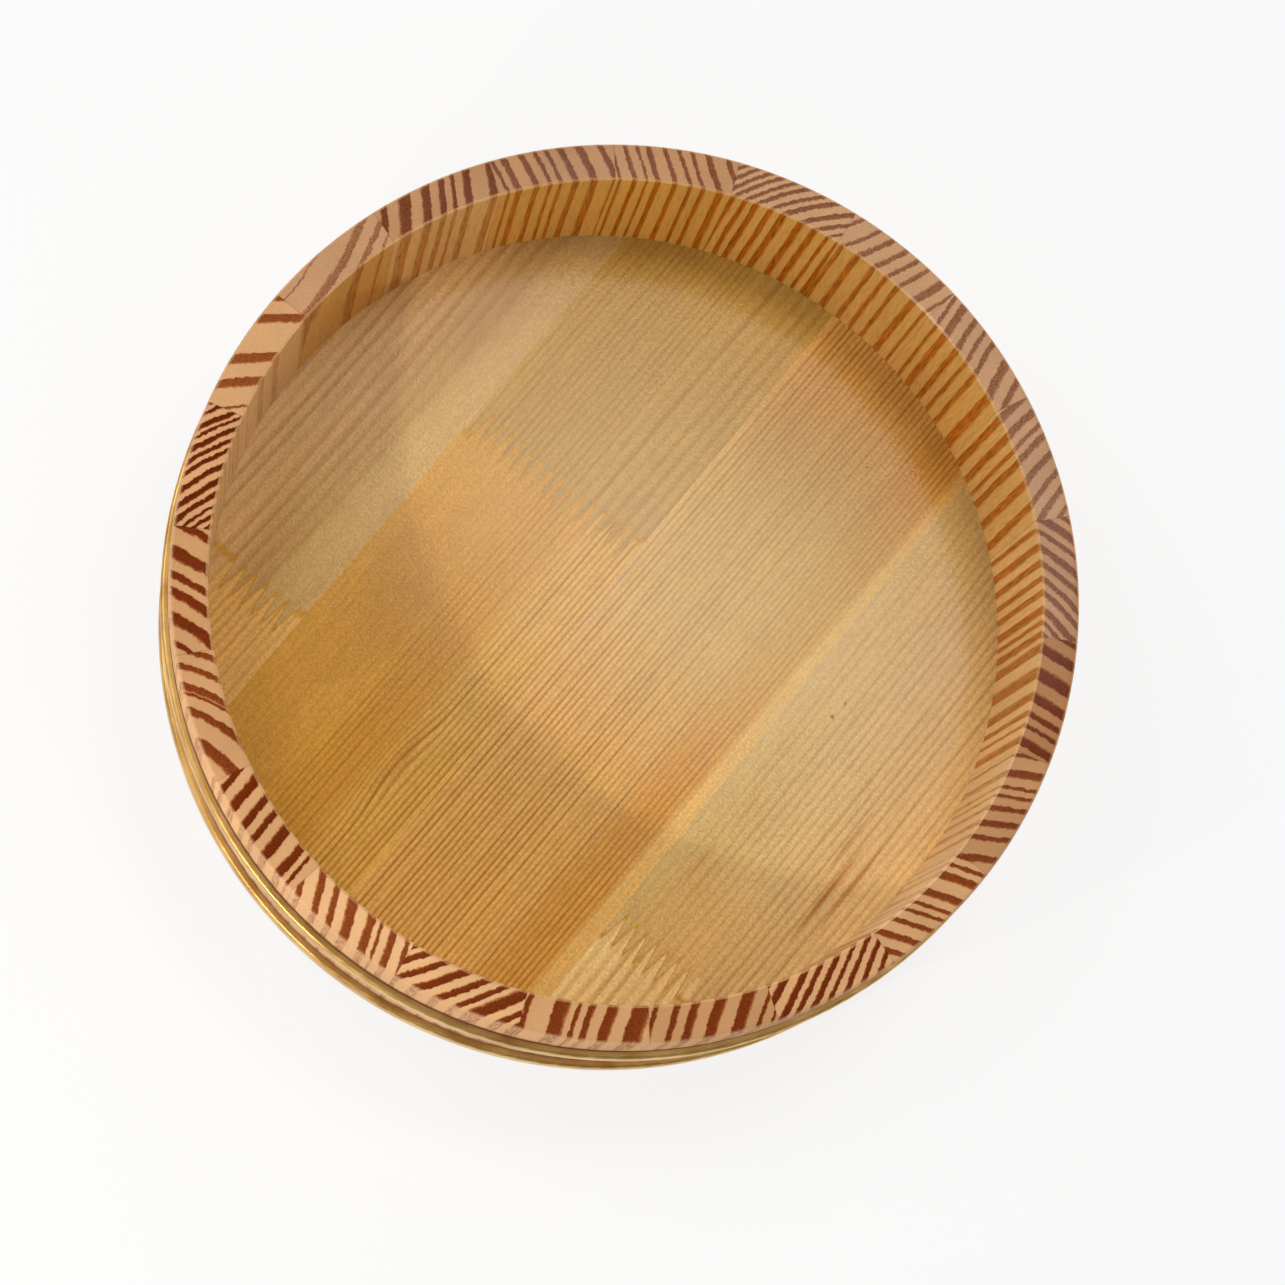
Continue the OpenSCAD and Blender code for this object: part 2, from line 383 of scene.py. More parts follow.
# %% Rings round the heart of a tree
HALF_SPAN = 24 * MM      # the rings are noted this far to each side of the middle
MIDDLE = 143.75 * MM     # from the centre of the tub to the middle of the wall at the rim
RING_CORNERS = [(-0.76, 0.0), (-0.44, 0.93), (0.46, 1.0), (0.60, 0.0)]
THINNEST, PER_WIDTH = 0.75, 0.3     # how dark the thinnest ring is, and what each mm adds
CLOSEST = 1e-4           # two corners of a curve never come closer than this
BEND_SIZE, FRAY_SIZE = 8.0 * MM, 1.5 * MM
FRAY_SIDE, FRAY_END = 0.2 * MM, 1.5 * MM
TO_CENTRE = (-0.5, -0.5, -0.5)      # moves a noise to both sides of 0


def draw_curve(node, start, end, points):
    """Draws the curve of a node as straight lines through points between two ends."""
    line = node.mapping.curves[0]
    line.points[0].location, line.points[1].location = start, end
    for x, y in points:
        line.points.new(x, y)
    for point in line.points:
        point.handle_type = "VECTOR"
    node.mapping.update()


def ring_curve(tree, depth, rings, bark):
    """Darkness of the wood, from a depth that runs from 0 to 1 across the stave.
    The bark lies towards higher places if bark is 1, and lower ones if it is -1."""
    profile = sorted((offset * bark, level) for offset, level in RING_CORNERS)
    corners = []
    for middle, width in sorted(rings):
        tall = min(1.0, THINNEST + PER_WIDTH * width)
        for offset, level in profile:
            x = 0.5 + (middle + offset * width) * MM / (2 * HALF_SPAN)
            if not corners or x > corners[-1][0] + CLOSEST:
                corners.append((x, level * tall))
    node = add(tree, "ShaderNodeFloatCurve", {"Value": depth})
    draw_curve(node, (0.0, 0.0), (1.0, 0.0), [(x, y) for x, y in corners if 0.0 < x < 1.0])
    return node


def stave_rings(tree, turned, stretched, end_grain, lean, heart_way, wander, rings):
    """Darkness of the wood in one stave, from its distance to the heart."""
    slant = math.radians(lean)
    across = Vector((-math.sin(slant), math.cos(slant), 0))
    heart = Vector((MIDDLE, 0, 0)) + across * heart_way * MM
    fray = add(tree, "ShaderNodeMapRange", {
        "Value": end_grain, "To Min": FRAY_SIDE, "To Max": FRAY_END,
    })
    bent = turned
    for size, reach in ((BEND_SIZE, wander * MM), (FRAY_SIZE, fray)):
        noise = add(tree, "ShaderNodeTexNoise", {
            "Vector": stretched, "Scale": 1 / size, "Detail": 3.0, "Roughness": 0.6,
        }).outputs["Color"]
        push = add(tree, "ShaderNodeVectorMath", {0: noise, 1: TO_CENTRE}, operation="ADD")
        push = add(tree, "ShaderNodeVectorMath", {0: push, "Scale": reach}, operation="SCALE")
        bent = add(tree, "ShaderNodeVectorMath", {0: push, 1: bent}, operation="ADD")
    flat = add(tree, "ShaderNodeVectorMath", {0: bent, 1: (1, 1, 0)}, operation="MULTIPLY")
    away = add(tree, "ShaderNodeVectorMath", {0: flat, 1: heart}, operation="DISTANCE")
    # places are counted away from a heart on the low side, and towards one on the high side
    near, far = abs(heart_way) * MM - HALF_SPAN, abs(heart_way) * MM + HALF_SPAN
    low, high = (near, far) if heart_way < 0 else (far, near)
    depth = add(tree, "ShaderNodeMapRange", {"Value": away, "From Min": low, "From Max": high})
    return ring_curve(tree, depth, rings, 1 if heart_way < 0 else -1)


stave_width = 2 * MIDDLE * math.tan(stave_angle / 2)
print("a stave is", round(stave_width / MM, 1), "mm wide at the middle of the wall")

# %% [markdown]
# Inside, the lacquer is amber. On some staves, most on those seen edge-on at the
# sides, the wall is painted paler and milkier, as a painted sheen. The rings show
# through it as warm brown stripes. Outside, the pine is almost bare and rosy. A
# dark band is painted along the top of each hoop, over 3 to 8 mm and less evenly at the lower one,
# as painted shade where the wood meets the hoop.

# %% Side grain
HOOP_TOPS = [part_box(name)[1].z for name in ("upper_hoop", "lower_hoop")]
HOOP_SHADE_STRENGTH = (0.9, 0.7)
HOOP_SHADE_SPOTS = (1.5 * MM, 4.0 * MM)    # how far the edge of the painted shade strays
HOOP_SHADE_FADES, HOOP_SHADE_ENDS = 3 * MM, 8 * MM
HOOP_SHADE_GRAIN = 7 * MM
INSIDE_ENDS, OUTSIDE_STARTS = 144 * MM, 147 * MM     # from the centre of the tub
SIDE_FORCE = 1.05


def shade_above_hoop(tree, colour, place, height, edge, strength, spots):
    """Darkens a colour in a band along the top edge of a hoop: painted shade where the wood meets
    the hoop.
    """
    off = add(tree, "ShaderNodeMath", {0: height, 1: edge}, operation="SUBTRACT")
    off = add(tree, "ShaderNodeMath", {0: off}, operation="ABSOLUTE")
    uneven = add(tree, "ShaderNodeTexNoise", {
        "Vector": place, "Scale": 1 / HOOP_SHADE_GRAIN, "Detail": 3.0,
    })
    off = add(tree, "ShaderNodeMath", {0: uneven, 1: spots, 2: off}, operation="MULTIPLY_ADD")
    # painted shade: darkest at the top edge of the hoop, gone 3 to 8 mm above it
    painted_shade = add(tree, "ShaderNodeMapRange", {
        "Value": off, "From Min": HOOP_SHADE_FADES + spots / 2, "From Max": HOOP_SHADE_ENDS + spots / 2,
        "To Min": strength, "To Max": 0.0,
    }, interpolation_type="SMOOTHSTEP")
    return add(tree, "ShaderNodeMix", {0: painted_shade, 6: colour, 7: linear("#5C2C10")}, data_type="RGBA")


def side_grain(tree, place, own, dark, side_rings, wall_sheen):
    """The colour of the wall, and how far a place lies on the outside of it."""
    soft = add(tree, "ShaderNodeMath", {
        0: dark, 1: SIDE_FORCE * side_rings,
    }, operation="MULTIPLY", use_clamp=True)
    outer = add(tree, "ShaderNodeMix", {
        0: soft, 6: linear("#F0BC8A"), 7: linear("#CE976C"),
    }, data_type="RGBA")
    # painted shade: a dark band along the top of each hoop, where the hoop shades the wood
    for edge, strength, spots in zip(HOOP_TOPS, HOOP_SHADE_STRENGTH, HOOP_SHADE_SPOTS):
        outer = shade_above_hoop(tree, outer, place, own.outputs["Z"], edge, strength, spots)
    # painted sheen: the wall is mixed towards a pale milky colour, most on the staves seen edge-on
    amber = add(tree, "ShaderNodeMix", {
        0: wall_sheen, 6: linear("#E2AF58"), 7: linear("#FFDCA8"),
    }, data_type="RGBA")
    inner = add(tree, "ShaderNodeMix", {0: soft, 6: amber, 7: linear("#B8680E")}, data_type="RGBA")
    outside = add(tree, "ShaderNodeMapRange", {
        "Value": own.outputs["X"], "From Min": INSIDE_ENDS, "From Max": OUTSIDE_STARTS,
    })
    side = add(tree, "ShaderNodeMix", {0: outside, 6: inner, 7: outer}, data_type="RGBA")
    return side, outside


print("dirt gathers at heights of", [round(z / MM, 1) for z in HOOP_TOPS], "mm")

# %% [markdown]
# On the end grain, dark and pale wood differ in how much of one stain they
# hold. Light that passes through twice the stain is dimmed twice, so the shades
# between them come from multiplying, not from mixing. The rings then pass
# through orange and red-brown. A plain mix would make them greyish pink.

# %% End grain
RIM_SHEEN_ON_PALE = 0.35


def end_colours(rim_sheen, pale):
    """The pale and the dark shade of the end grain of one stave."""
    # partly painted light: pale is higher towards the near side of the rim, so that side is
    # painted paler, as if lit more
    early = between(linear("#A77144"), linear("#EDBB86"), pale)
    # painted sheen: on the far half of the rim both shades are mixed towards grey, standing in for
    # the lamps' sheen on the lacquer
    early = between(early, linear("#CDAA8E"), RIM_SHEEN_ON_PALE * rim_sheen)
    late = between(linear("#68260A"), linear("#87583C"), rim_sheen)
    return early, late


def end_grain_wood(tree, dark, tone, rim_sheen, pale):
    """The colour of the rim: the pale shade, dimmed by the stain of its rings."""
    early, late = end_colours(rim_sheen, pale)
    full_stain = [b / a for a, b in zip(early, late)]
    amount = add(tree, "ShaderNodeMath", {0: dark, 1: tone}, operation="MULTIPLY")
    stain = add(tree, "ShaderNodeGamma", {"Color": full_stain, "Gamma": amount})
    return add(tree, "ShaderNodeMix", {
        0: 1.0, 6: early, 7: stain,
    }, data_type="RGBA", blend_type="MULTIPLY")


early, late = end_colours(0.0, 0.5)
print("the stain of a dark ring keeps", [round(b / a, 2) for a, b in zip(early[:3], late)],
      "of the red, green and blue")

# %% [markdown]
# Wood is also shaded by its fibres. They are 0.5 mm apart, wide enough to show,
# as specks on the end and as streaks down the sides, and they are strongest in
# the dark rings. Slow patches of 18 mm make it livelier. A glued joint between
# two staves is a dark line, 0.3 mm on each side.

# %% Fibres, patches and glued joints
FIBRE, PATCH, GLUE_LINE = 0.5 * MM, 18 * MM, 0.3 * MM
FIBRE_RUN = (1, 1, 0.05)             # the fibres are long in z
SPECKS, SPECKS_IN_RING, SPECKS_IN_RIM_SHEEN = 0.07, 0.30, 0.07
GLUE_SHADE = 0.72


def stave_shade(tree, place, stretched, own, dark, rim_sheen):
    """How bright the wood is, and the fibres and their swing from -1 to 1."""
    fine = add(tree, "ShaderNodeVectorMath", {0: place, 1: FIBRE_RUN}, operation="MULTIPLY")
    fibres = add(tree, "ShaderNodeTexNoise", {"Vector": fine, "Scale": 1 / FIBRE, "Detail": 2.0})
    swing = add(tree, "ShaderNodeMapRange", {
        "Value": fibres, "From Min": NOISE_LOW, "From Max": NOISE_HIGH,
        "To Min": -1.0, "To Max": 1.0,
    })
    force = add(tree, "ShaderNodeMath", {
        0: dark, 1: SPECKS_IN_RING, 2: SPECKS + SPECKS_IN_RIM_SHEEN * rim_sheen,
    }, operation="MULTIPLY_ADD")
    speck = add(tree, "ShaderNodeMath", {0: swing, 1: force, 2: 1.0}, operation="MULTIPLY_ADD")
    patches = add(tree, "ShaderNodeTexNoise", {
        "Vector": stretched, "Scale": 1 / PATCH, "Detail": 1.0,
    })
    patch = add(tree, "ShaderNodeMapRange", {
        "Value": patches, "From Min": NOISE_LOW, "From Max": NOISE_HIGH,
        "To Min": 0.93, "To Max": 1.07,
    })
    aside = add(tree, "ShaderNodeMath", {0: own.outputs["Y"]}, operation="ABSOLUTE")
    edge = add(tree, "ShaderNodeMath", {
        0: own.outputs["X"], 1: math.tan(stave_angle / 2),
    }, operation="MULTIPLY")
    to_edge = add(tree, "ShaderNodeMath", {0: edge, 1: aside}, operation="SUBTRACT")
    joint = add(tree, "ShaderNodeMapRange", {
        "Value": to_edge, "From Min": 0.0, "From Max": GLUE_LINE,
        "To Min": GLUE_SHADE, "To Max": 1.0,
    })
    shade = add(tree, "ShaderNodeMath", {0: speck, 1: patch}, operation="MULTIPLY")
    shade = add(tree, "ShaderNodeMath", {0: shade, 1: joint}, operation="MULTIPLY")
    return shade, fibres, swing


print("fibres across one stave:", round(stave_width / FIBRE))

# %% [markdown]
# Lacquer has an IOR of about 1.5, but here it has sunk into the wood, so the
# mirror layer on top is weak. The rim was rubbed smooth, with a roughness of
# about 0.1. The wall inside is duller, and the outside has hardly any coat.
#
# The parts are now put together. Every stave gets a material of its own, and
# thinks in coordinates of its own: x outwards from the centre of the tub, y
# across the stave and z up. Along z the noise is stretched, as grain is.

# %% Pine for the staves
PINE_IOR = 1.5
STAVE_SHINE = 0.04
ROUGH_INSIDE, ROUGH_OUTSIDE, ROUGH_RIM, ROUGH_SWING = 0.30, 0.75, 0.10, 0.03
STAVE_RUN = (1, 1, 0.14)             # slow patterns are long in z
STAVE_RELIEF = 0.02 * MM
# partly wear, partly a painted highlight: the pale peach of the rounded edges
LIT_WORN_EDGE_COLOUR = "#DDAE82"


def stave_pine(number, lean, heart_way, tone, rim_sheen, pale, side_rings, wall_sheen, wander, rings):
    """The lacquered pine of one stave."""
    wood, tree = start_material(f"lacquered_pine_stave_{number:02d}")
    place = add(tree, "ShaderNodeTexCoord").outputs["Object"]
    turned = add(tree, "ShaderNodeVectorRotate", {
        "Vector": place, "Angle": -(number - 0.5) * stave_angle,
    }, rotation_type="Z_AXIS")
    own = add(tree, "ShaderNodeSeparateXYZ", {0: turned})
    stretched = add(tree, "ShaderNodeVectorMath", {0: place, 1: STAVE_RUN}, operation="MULTIPLY")

    end_grain, lit_worn_edge = facing(tree)
    dark = stave_rings(tree, turned, stretched, end_grain, lean, heart_way, wander, rings)
    side, outside = side_grain(tree, place, own, dark, side_rings, wall_sheen)
    end = end_grain_wood(tree, dark, tone, rim_sheen, pale)
    colour = add(tree, "ShaderNodeMix", {0: end_grain, 6: side, 7: end}, data_type="RGBA")
    # painted highlight, partly wear: rounded edges are mixed towards a pale peach
    colour = add(tree, "ShaderNodeMix", {
        0: lit_worn_edge, 6: colour, 7: linear(LIT_WORN_EDGE_COLOUR),
    }, data_type="RGBA")
    shade, fibres, swing = stave_shade(tree, place, stretched, own, dark, rim_sheen)
    shaded = add(tree, "ShaderNodeHueSaturation", {"Value": shade, "Color": colour})

    rough = add(tree, "ShaderNodeMapRange", {
        "Value": outside, "To Min": ROUGH_INSIDE, "To Max": ROUGH_OUTSIDE,
    })
    rough = add(tree, "ShaderNodeMix", {0: end_grain, 2: rough, 3: ROUGH_RIM})
    rough = add(tree, "ShaderNodeMath", {
        0: swing, 1: ROUGH_SWING, 2: rough,
    }, operation="MULTIPLY_ADD")
    relief = add(tree, "ShaderNodeMath", {0: dark, 1: 0.5, 2: fibres}, operation="MULTIPLY_ADD")
    bump = add(tree, "ShaderNodeBump", {
        "Height": relief, "Strength": 0.4, "Distance": STAVE_RELIEF,
    })
    skin = add(tree, "ShaderNodeBsdfPrincipled", {
        "Base Color": shaded, "Roughness": rough, "Normal": bump,
        "IOR": PINE_IOR, "Specular IOR Level": STAVE_SHINE,
    })
    add(tree, "ShaderNodeOutputMaterial", {"Surface": skin})
    return wood


for number, row in enumerate(STAVES, 1):
    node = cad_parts[f"stave_{number:02d}"]
    dress(node, stave_pine(number, *row))
print("nodes in one stave's material:", len(node.data.materials[0].node_tree.nodes))

# %% [markdown]
# ## The boards of the base
# The base boards lie down, with their grain along Y. Most of them were sawn
# close to the spoke of the trunk, so that the rings cross the face as fine
# straight lines about 2 mm apart. Where a board was sawn further out, the lines
# spread and curve.
#
# The lines start from the place across the board. It is slanted by a lean, bent
# by a bow, and moved by a slow noise. Round a knot the lines swing out, as the
# trunk grew round its branch.

# %% Where the lines of a board run
BOARD_BEND = 14 * MM
KNOT_WIDE, KNOT_LONG, KNOT_PUSH = 9 * MM, 30 * MM, 2.6 * MM
BOW_LENGTH = 0.1         # a bow is given in mm over this length in m


def apart_from(tree, place, x, y, wide, long):
    """How far a place lies from a point, in oval steps of a width and a length."""
    away = add(tree, "ShaderNodeVectorMath", {0: place, 1: (-x * MM, -y * MM, 0)}, operation="ADD")
    steps = (1 / wide, 1 / long, 0)
    away = add(tree, "ShaderNodeVectorMath", {0: away, 1: steps}, operation="MULTIPLY")
    return add(tree, "ShaderNodeVectorMath", {0: away}, operation="LENGTH").outputs["Value"]


def run_of_grain(tree, place, along, lean, bow):
    """The place across a board, counted along its slanted and bent grain."""
    straight = add(tree, "ShaderNodeVectorMath", {
        0: place, 1: (1, -lean, 0),
    }, operation="DOT_PRODUCT")
    square = add(tree, "ShaderNodeMath", {0: along, 1: along}, operation="MULTIPLY")
    return add(tree, "ShaderNodeMath", {
        0: square, 1: bow * MM / BOW_LENGTH ** 2, 2: straight,
    }, operation="MULTIPLY_ADD")


def wandering(tree, place, stretched, grain, wobble, knot):
    """The same, with the lines wandering, and pushed aside by a knot."""
    noise = add(tree, "ShaderNodeTexNoise", {
        "Vector": stretched, "Scale": 1 / BOARD_BEND, "Detail": 3.0, "Roughness": 0.55,
    })
    noise = add(tree, "ShaderNodeMath", {0: noise, 1: -0.5}, operation="ADD")
    moved = add(tree, "ShaderNodeMath", {
        0: noise, 1: wobble * MM, 2: grain,
    }, operation="MULTIPLY_ADD")
    if knot:
        away = apart_from(tree, place, *knot, KNOT_WIDE, KNOT_LONG)
        push = add(tree, "ShaderNodeMapRange", {
            "Value": away, "To Min": KNOT_PUSH, "To Max": 0.0,
        }, interpolation_type="SMOOTHSTEP")
        moved = add(tree, "ShaderNodeMath", {0: moved, 1: push}, operation="ADD")
    return moved


print("lines bend over", BOARD_BEND / MM, "mm, and swing out by", KNOT_PUSH / MM, "mm at a knot")

# %% [markdown]
# A board's rings are counted across it. The list `count` says how many dark
# lines lie to the left of a place, so close pairs of numbers make wide lines
# and distant ones make fine lines. A curve reads that list. The part of the
# number before the point is the year, and gives each line its own strength. The
# part after it is the season, and says how dark the wood is just there.
#
# The list `tints` gives the colour of the pale wood across the board, and how
# strongly the lines show there. Near the left and right walls of the tub, some tints are painted
# paler, as painted light in the shade of the walls.

# %% Counted lines and tints
SEASONS = [(0.0, 0.0), (0.40, 0.05), (0.70, 1.0), (0.88, 0.9), (1.0, 0.0)]
FAINTEST_YEAR = 0.45


def share_of(x, left, right):
    """A place across a board as a share of its width."""
    return min(1.0, max(0.0, (x - left) / (right - left)))


def fill_ramp(node, stops):
    """Fills a colour ramp, which starts with two stops, with (place, colour) pairs."""
    elements = node.color_ramp.elements
    for index, (place, colour) in enumerate(stops):
        element = elements[index] if index < 2 else elements.new(place)
        element.position, element.color = place, colour


def counted_lines(tree, moved, left, right, count):
    """How dark the summer wood is at a place across the board."""
    last = count[-1][1]
    where = add(tree, "ShaderNodeMapRange", {
        "Value": moved, "From Min": left * MM, "From Max": right * MM,
    })
    tally = add(tree, "ShaderNodeFloatCurve", {"Value": where})
    points = [(share_of(x, left, right), number / last) for x, number in count[1:-1]]
    draw_curve(tally, (0.0, 0.0), (1.0, 1.0), points)
    year = add(tree, "ShaderNodeMath", {0: tally, 1: last}, operation="MULTIPLY")
    season = add(tree, "ShaderNodeMath", {0: year}, operation="FRACT")
    which = add(tree, "ShaderNodeMath", {0: year}, operation="FLOOR")
    luck = add(tree, "ShaderNodeTexWhiteNoise", {"W": which}, noise_dimensions="1D")
    dark = add(tree, "ShaderNodeValToRGB", {"Fac": season})
    fill_ramp(dark, [(place, (level, level, level, 1)) for place, level in SEASONS])
    force = add(tree, "ShaderNodeMapRange", {
        "Value": luck, "To Min": FAINTEST_YEAR, "To Max": 1.0,
    })
    return add(tree, "ShaderNodeMath", {0: dark, 1: force}, operation="MULTIPLY")


def tinted(tree, grain, dark, left, right, tints, late):
    """The colour of the pale and dark wood of a board."""
    where = add(tree, "ShaderNodeMapRange", {
        "Value": grain, "From Min": left * MM, "From Max": right * MM,
    })
    tint = add(tree, "ShaderNodeValToRGB", {"Fac": where})
    fill_ramp(tint, [
        (share_of(x, left, right), linear(pale)[:3] + [strength]) for x, pale, strength in tints
    ])
    dark = add(tree, "ShaderNodeMath", {0: dark, 1: tint.outputs["Alpha"]}, operation="MULTIPLY")
    return add(tree, "ShaderNodeMix", {0: dark, 6: tint, 7: linear(late)}, data_type="RGBA")


print("the darkest part of a year lies at", max(SEASONS, key=lambda stop: stop[1])[0])

# %% [markdown]
# Real boards also have single marks: a brown shade, a streak of resin, a small
# dark knot. Each is a soft oval of colour at a place on the board. Three of the ovals are painted
# light and shade instead: a dark one by the far wall and one in the shade of the near rim are
# painted shade, and a pale one in that shade is painted light.

# %% Marks
MARK_CORE = 0.2


def mark(tree, colour, place, x, y, wide, long, hex_colour, strength):
    """Mixes a colour into a soft oval, as wide and as long as given in mm. Most ovals are marks of
    the wood; some are painted light and shade.
    """
    away = apart_from(tree, place, x, y, wide / 2 * MM, long / 2 * MM)
    here = add(tree, "ShaderNodeMapRange", {
        "Value": away, "From Min": MARK_CORE, "From Max": 1.0, "To Min": strength, "To Max": 0.0,
    }, interpolation_type="SMOOTHSTEP")
    return add(tree, "ShaderNodeMix", {
        0: here, 6: colour, 7: linear(hex_colour),
    }, data_type="RGBA")


print("a mark keeps its full strength over the inner", MARK_CORE, "of its oval")

# %% [markdown]
# Three of the boards are two lengths joined by glued fingers. The glue and the
# lacquer that the cut end grain drank leave an amber line along the zigzag. The
# zigzag is a wave that goes from one side of the joint to the other each half
# pitch, with a blunt tip. How far the place is from that wave says how strong
# the stain is.

# %% The glued fingers
FINGER_LENGTH, FINGER_PITCH, FINGER_TIP, FINGER_SHOULDER = 10.0, 4.6, 0.8, 2.9
STAIN_FULL, STAIN_ENDS, STAIN_STRENGTH = 0.08, 0.45, 0.8


def glue_stain(tree, colour, along, x_here, middle, start, way, first, turns):
    """Stains a colour amber along one finger joint. Its middle is at `middle`
    along the board. Its fingers start at `start` and go the way of `way`, 1 or
    -1, over a number of `turns`. The first one points the way of `first`."""
    step = FINGER_PITCH / 2
    blunt = FINGER_TIP / step / 2
    phase = add(tree, "ShaderNodeMapRange", {
        "Value": x_here, "From Min": start * MM, "From Max": (start + way * step * turns) * MM,
        "To Min": 0.0, "To Max": float(turns),
    })
    wave = add(tree, "ShaderNodeMath", {0: phase, 1: 1.0}, operation="PINGPONG")
    wave = add(tree, "ShaderNodeMapRange", {
        "Value": wave, "From Min": blunt, "From Max": 1 - blunt,
        "To Min": float(first), "To Max": -float(first),
    })
    level = add(tree, "ShaderNodeMapRange", {
        "Value": along, "From Min": (middle - FINGER_LENGTH / 2) * MM,
        "From Max": (middle + FINGER_LENGTH / 2) * MM, "To Min": -1.0, "To Max": 1.0,
    }, clamp=False)
    apart = add(tree, "ShaderNodeMath", {0: wave, 1: level}, operation="SUBTRACT")
    apart = add(tree, "ShaderNodeMath", {0: apart}, operation="ABSOLUTE")
    line = add(tree, "ShaderNodeMapRange", {
        "Value": apart, "From Min": STAIN_FULL, "From Max": STAIN_ENDS,
        "To Min": STAIN_STRENGTH, "To Max": 0.0,
    })
    return add(tree, "ShaderNodeMix", {0: line, 6: colour, 7: linear("#C08A24")}, data_type="RGBA")


print("one finger:", FINGER_LENGTH, "mm long, at a pitch of", FINGER_PITCH, "mm")

# %% [markdown]
# The base was planed and lacquered. The planed wood keeps a fine grit, which
# breaks up the sheen of the lamps. It is drawn 0.8 mm wide, which is as fine as
# the picture can show. The lacquer of the base is smoother than that of the
# wall, and it shines about twice as much. Now a board can be put together from
# its lines, tints, stains and grain.

# %% Pine for the boards
BOARD_FIBRE, BOARD_PATCH, GRIT = 0.6 * MM, 16 * MM, 0.8 * MM
GRIT_LOW, GRIT_HIGH = 0.35, 0.65     # the grit is sharper than the other noises
BOARD_RUN, BOARD_FIBRE_RUN = (1, 0.12, 1), (1, 0.05, 1)     # long in y
BOARD_RELIEF = 0.05 * MM
BOARD_ROUGH_LOW, BOARD_ROUGH_HIGH = 0.08, 0.12
BOARD_SHINE = 0.085


def board_shade(tree, place, stretched):
    """How bright the wood of a board is, and its fibres and grit."""
    fine = add(tree, "ShaderNodeVectorMath", {0: place, 1: BOARD_FIBRE_RUN}, operation="MULTIPLY")
    fibres = add(tree, "ShaderNodeTexNoise", {
        "Vector": fine, "Scale": 1 / BOARD_FIBRE, "Detail": 2.0,
    })
    patches = add(tree, "ShaderNodeTexNoise", {
        "Vector": stretched, "Scale": 1 / BOARD_PATCH, "Detail": 2.0,
    })
    grit = add(tree, "ShaderNodeTexNoise", {"Vector": place, "Scale": 1 / GRIT, "Detail": 1.0})
    shade = 1.0
    for noise, low, high, darker, lighter in (
        (fibres, NOISE_LOW, NOISE_HIGH, 0.93, 1.06),
        (patches, NOISE_LOW, NOISE_HIGH, 0.95, 1.04),
        (grit, GRIT_LOW, GRIT_HIGH, 0.89, 1.10),
    ):
        factor = add(tree, "ShaderNodeMapRange", {
            "Value": noise, "From Min": low, "From Max": high, "To Min": darker, "To Max": lighter,
        })
        shade = add(tree, "ShaderNodeMath", {0: shade, 1: factor}, operation="MULTIPLY")
    return shade, fibres, grit


def board_pine(name, left, right, count, tints, late, lean, bow, wobble,
               joint=None, marks=(), knot=None):
    """The pine of one piece of a board. Places across it are in mm. lean is the
    slant of its lines in mm for each mm along, bow how much they curve in mm
    over 100 mm, wobble how far they wander in mm. late is the colour of the
    dark lines."""
    wood, tree = start_material(name)
    place = add(tree, "ShaderNodeTexCoord").outputs["Object"]
    own = add(tree, "ShaderNodeSeparateXYZ", {0: place})
    x_here, along = own.outputs["X"], own.outputs["Y"]
    stretched = add(tree, "ShaderNodeVectorMath", {0: place, 1: BOARD_RUN}, operation="MULTIPLY")

    grain = run_of_grain(tree, place, along, lean, bow)
    moved = wandering(tree, place, stretched, grain, wobble, knot)
    dark = counted_lines(tree, moved, left, right, count)
    colour = tinted(tree, grain, dark, left, right, tints, late)
    if joint:
        colour = glue_stain(tree, colour, along, x_here, *joint)
    for oval in marks:
        colour = mark(tree, colour, place, *oval)
    shade, fibres, grit = board_shade(tree, place, stretched)
    shaded = add(tree, "ShaderNodeHueSaturation", {"Value": shade, "Color": colour})

    relief = add(tree, "ShaderNodeMath", {0: fibres, 1: 0.5, 2: grit}, operation="MULTIPLY_ADD")
    bump = add(tree, "ShaderNodeBump", {
        "Height": relief, "Strength": 1.0, "Distance": BOARD_RELIEF,
    })
    rough = add(tree, "ShaderNodeMapRange", {
        "Value": fibres, "From Min": NOISE_LOW, "From Max": NOISE_HIGH,
        "To Min": BOARD_ROUGH_LOW, "To Max": BOARD_ROUGH_HIGH,
    })
    skin = add(tree, "ShaderNodeBsdfPrincipled", {
        "Base Color": shaded, "Roughness": rough, "Normal": bump,
        "IOR": PINE_IOR, "Specular IOR Level": BOARD_SHINE,
    })
    add(tree, "ShaderNodeOutputMaterial", {"Surface": skin})
    return wood


print("grit, fibres and patches of a board, in mm:",
      [round(size / MM, 1) for size in (GRIT, BOARD_FIBRE, BOARD_PATCH)])

# %% [markdown]
# Each piece of the base is noted as the staves were, but with its lines counted
# from the centre of the tub, in mm. The two lengths of a jointed board come
# from different trees, so they have different tints and lines. They only share
# their joint.

# %% Pieces of the base
LEFT_GLUE, RIGHT_GLUE = -80.0, 65.6
JOINT_1 = (-70.9, LEFT_GLUE - FINGER_SHOULDER, -1, 1, 12)
JOINT_2 = (24.0, LEFT_GLUE + FINGER_SHOULDER, 1, -1, 29)
JOINT_4 = (-80.8, RIGHT_GLUE + 0.9, 1, -1, 14)

